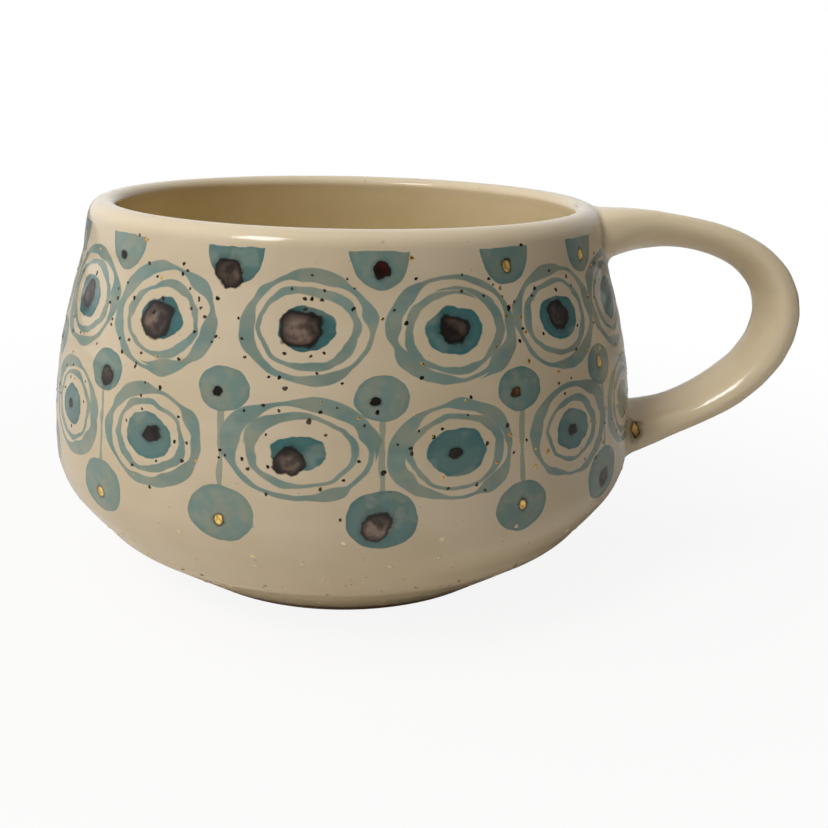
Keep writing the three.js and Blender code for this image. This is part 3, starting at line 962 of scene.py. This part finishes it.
def dots(name, places, material):
    """One closed low dome for each place: azimuth, distance along the wall, radius, height and tone."""
    points, faces, tones = [], [], []
    draw = random.Random(len(places))
    turns = np.linspace(0, TURN, DOT_AROUND, endpoint=False)
    for theta, s, size, rise, tone in places:
        first = len(points)
        radius = wall_radius(s)
        lobes = 1 + 0.16 * np.sin(turns * 2 + draw.uniform(0, TURN))
        lobes = lobes + 0.1 * np.sin(turns * 3 + draw.uniform(0, TURN))
        for share, lift in ((1.0, -DOT_ROOT), (1.0, 0.02), (0.78, 0.66 * rise), (0.4, 0.94 * rise)):
            x, y = size * share * lobes * np.cos(turns), size * share * lobes * np.sin(turns)
            points += list(on_wall(theta + x / radius, s + y, lift + 0 * turns))
        middle = np.array(theta), np.array(s)
        points += [on_wall(*middle, rise), on_wall(*middle, -DOT_ROOT)]
        faces += strip_faces(4, DOT_AROUND, first)
        faces += fan_faces(first + 3 * DOT_AROUND, DOT_AROUND, first + 4 * DOT_AROUND)
        faces += fan_faces(first, DOT_AROUND, first + 4 * DOT_AROUND + 1, flip=True)
        tones += [tone] * (4 * DOT_AROUND + 2)
    piece = make_object(name, points, faces, material)
    attribute = piece.data.attributes.new("dot_tone", "FLOAT_VECTOR", "POINT")
    attribute.data.foreach_set("vector", np.repeat(np.array(tones, np.float32), 3))
    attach(piece, "root")


def under_handle(theta):
    return abs(wrapped(theta)) < math.radians(13)


def ring_dots(draw):
    """Dots scattered by hand along the strokes of every ring motif."""
    places = []
    for m in RING_MOTIFS:
        for _ in range(draw.randint(13, 21)):
            reach = draw.choice((0.52, 0.76, 0.8, 0.99, 1.02, 1.08)) + draw.uniform(-0.04, 0.04)
            angle = draw.uniform(0, TURN)
            radius = wall_radius(m["s"])
            theta = m["theta"] + reach * m["half_width"] * math.cos(angle) / radius
            s = m["s"] + reach * m["half_height"] * math.sin(angle)
            places.append((theta, s, draw.triangular(0.17, 0.42, 0.26), 0.06, draw.random()))
    return places


def loose_dots(draw, count, low, high):
    """Dots anywhere between two heights, but not under the handle."""
    places = []
    while len(places) < count:
        theta, s = draw.uniform(-math.pi, math.pi), draw.uniform(length_at(low), length_at(high))
        if not under_handle(theta):
            places.append((theta, s, draw.triangular(0.19, 0.5, 0.28), 0.07, draw.random()))
    return places


def is_gold(theta, tone):
    """Whether a dot's lustre is gold: one in seven, and half of those near the handle. The extra gold near
    the handle is painted reflection of the brighter side.
    """
    near_handle = abs(wrapped(theta)) < math.radians(62)
    return tone > (0.5 if near_handle else 0.86)


def all_dots():
    """Dark and gold dots over the pattern, and pale ones on the band below it."""
    draw = random.Random(5)
    places = ring_dots(draw) + loose_dots(draw, 70, 44, 71) + loose_dots(draw, 20, 22, 44)
    gold = [place for place in places if is_gold(place[0], place[-1])]
    dark = [place for place in places if not is_gold(place[0], place[-1])]
    dots("dark_lustre_dots", dark, lustre_material("dark_lustre", 0.0, 0.3))
    dots("gold_lustre_dots", gold, lustre_material("gold_lustre", 0.75, 1.0))
    low_band = loose_dots(draw, 130, 5, 24)
    low_band = [(theta, s, 0.36 + 0.2 * tone, 0.12, tone) for theta, s, _, _, tone in low_band]
    dots("painted_glint_lustre_dots", low_band, pale_dot_material())


def pale_dot_material():
    """Glossy pale lustre, whose cream-gold colour is partly a painted reflection of the cream glaze round
    it.
    """
    graph = Graph("painted_glint_lustre")
    place = graph.position()
    clouds = graph.ramp(graph.noise(place, 0.5), 0.35, 0.65)
    # partly painted reflection: the gold lustre painted pale, as it mirrors the cream glaze
    colour = graph.blend(clouds, (0.95, 0.82, 0.55), (0.74, 0.55, 0.30))
    return graph.finish(colour, 0.22, 0.25, clouds, 0.02)


clay = clay_material()
for name in ("handle", "upper_slip_joint", "lower_slip_joint"):
    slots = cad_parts[name].data.materials
    slots.clear()
    slots.append(clay)
root_rings = handle_glaze(handle_glaze_material())
glazed_bowl(painted_glaze_material(), root_rings)
clay_bowl(clay)
all_dots()

# -------- floor, light and camera

CAMERA_RADIUS = 230 * MM  # horizontal distance from the bowl's axis
CAMERA_HEIGHT = 98 * MM
CAMERA_AZIMUTH = math.radians(-85.6)  # from the handle's direction
CAMERA_PAN = math.radians(3.54)  # to the right of the axis
CAMERA_TILT = math.radians(16.75)  # downwards
CAMERA_ROLL = math.radians(1.43)
LENS = 49.8


def make_camera():
    camera = bpy.data.objects.new("camera", bpy.data.cameras.new("camera"))
    camera.data.lens = LENS
    camera.data.sensor_width = 36
    camera.data.clip_start = 0.01
    heading = CAMERA_AZIMUTH + math.pi - CAMERA_PAN
    forward = Vector((math.cos(heading), math.sin(heading), -math.tan(CAMERA_TILT))).normalized()
    right = forward.cross(Vector((0, 0, 1))).normalized()
    up = right.cross(forward)
    tilt = math.cos(CAMERA_ROLL), math.sin(CAMERA_ROLL)
    right, up = right * tilt[0] + up * tilt[1], up * tilt[0] - right * tilt[1]
    camera.matrix_world = Matrix((
        (right.x, up.x, -forward.x, CAMERA_RADIUS * math.cos(CAMERA_AZIMUTH)),
        (right.y, up.y, -forward.y, CAMERA_RADIUS * math.sin(CAMERA_AZIMUTH)),
        (right.z, up.z, -forward.z, CAMERA_HEIGHT),
        (0, 0, 0, 1),
    ))
    bpy.context.scene.collection.objects.link(camera)
    bpy.context.scene.camera = camera


def make_floor():
    """A pale floor that turns into the white background: it glows, for the camera only, with distance."""
    graph = Graph("pale_floor")
    place = graph.position()
    x, y, _ = graph.split(place)
    distance = graph.length(x, y)
    soft = graph.noise(place, 120.0)
    colour = graph.blend(soft, (0.88, 0.85, 0.80), (0.86, 0.83, 0.78))
    surface = graph.add("ShaderNodeBsdfDiffuse", {"Color": colour})
    glow = graph.add("ShaderNodeEmission", {"Strength": 1.0, "Color": (1.0, 1.0, 1.0, 1.0)})
    share = graph.ramp(distance, 50.0, 260.0, 0.9, 1.0)
    to_camera = graph.add("ShaderNodeLightPath").outputs["Is Camera Ray"]
    factor = graph.times(share, to_camera)
    mixed = graph.add("ShaderNodeMixShader", {0: factor, 1: surface.outputs[0], 2: glow.outputs[0]})
    graph.add("ShaderNodeOutputMaterial", {"Surface": mixed.outputs[0]})
    reach = 3.0
    corners = [(-reach, -reach, 0), (reach, -reach, 0), (reach, reach, 0), (-reach, reach, 0)]
    make_object("floor", corners, [(0, 1, 2, 3)], graph.owner, smooth=False)


LIGHT_DISTANCE = 0.95
LIGHT_AIM = Vector((0, 0, 0.035))  # the middle of the mug


def make_light(name, azimuth, elevation, size, power, glossy=False):
    """A square soft light that faces the mug. One that is not glossy makes no highlights."""
    data = bpy.data.lights.new(name, "AREA")
    data.size = size
    data.energy = power
    light = bpy.data.objects.new(name, data)
    around, up = math.radians(azimuth), math.radians(elevation)
    out = Vector((math.cos(up) * math.cos(around), math.cos(up) * math.sin(around), math.sin(up)))
    light.location = LIGHT_AIM + LIGHT_DISTANCE * out
    light.rotation_euler = out.to_track_quat("Z", "Y").to_euler()
    light.visible_glossy = glossy
    bpy.context.scene.collection.objects.link(light)


BRIGHT_SIDE = (-0.45, 0.75, 0.48)  # the direction in which reflections see the brightest wall


def make_world():
    """White behind the mug, grey in reflections, and a faint fill on everything else."""
    graph = Graph("studio", "worlds")
    path = graph.add("ShaderNodeLightPath").outputs
    direction = graph.add("ShaderNodeTexCoord").outputs["Generated"]
    facing = graph.add("ShaderNodeVectorMath", {0: direction, 1: BRIGHT_SIDE}, operation="DOT_PRODUCT")
    inputs = {"From Min": -0.2, "From Max": 0.9, "To Min": 0.08, "To Max": 0.95}
    inputs["Value"] = facing.outputs["Value"]
    reflected = graph.add("ShaderNodeMapRange", inputs).outputs["Result"]
    strength = graph.mix(path["Is Glossy Ray"], 0.05, reflected)
    seen = graph.math("MAXIMUM", strength, path["Is Camera Ray"])
    background = graph.add("ShaderNodeBackground", {"Color": (1.0, 1.0, 1.0, 1.0), "Strength": seen})
    graph.add("ShaderNodeOutputWorld", {"Surface": background.outputs[0]})
    bpy.context.scene.world = graph.owner


make_camera()
make_floor()
make_world()
make_light("lamp", -130, 46, 0.26, 2.8, glossy=True)
make_light("left_window", -178, 30, 0.9, 2.8)
make_light("front_fill", -120, 20, 0.6, 0.4)
make_light("overhead", -90, 85, 0.6, 1.3)
make_light("high_window", -150, 70, 0.4, 1.3)
bpy.context.scene.view_settings.view_transform = "Standard"
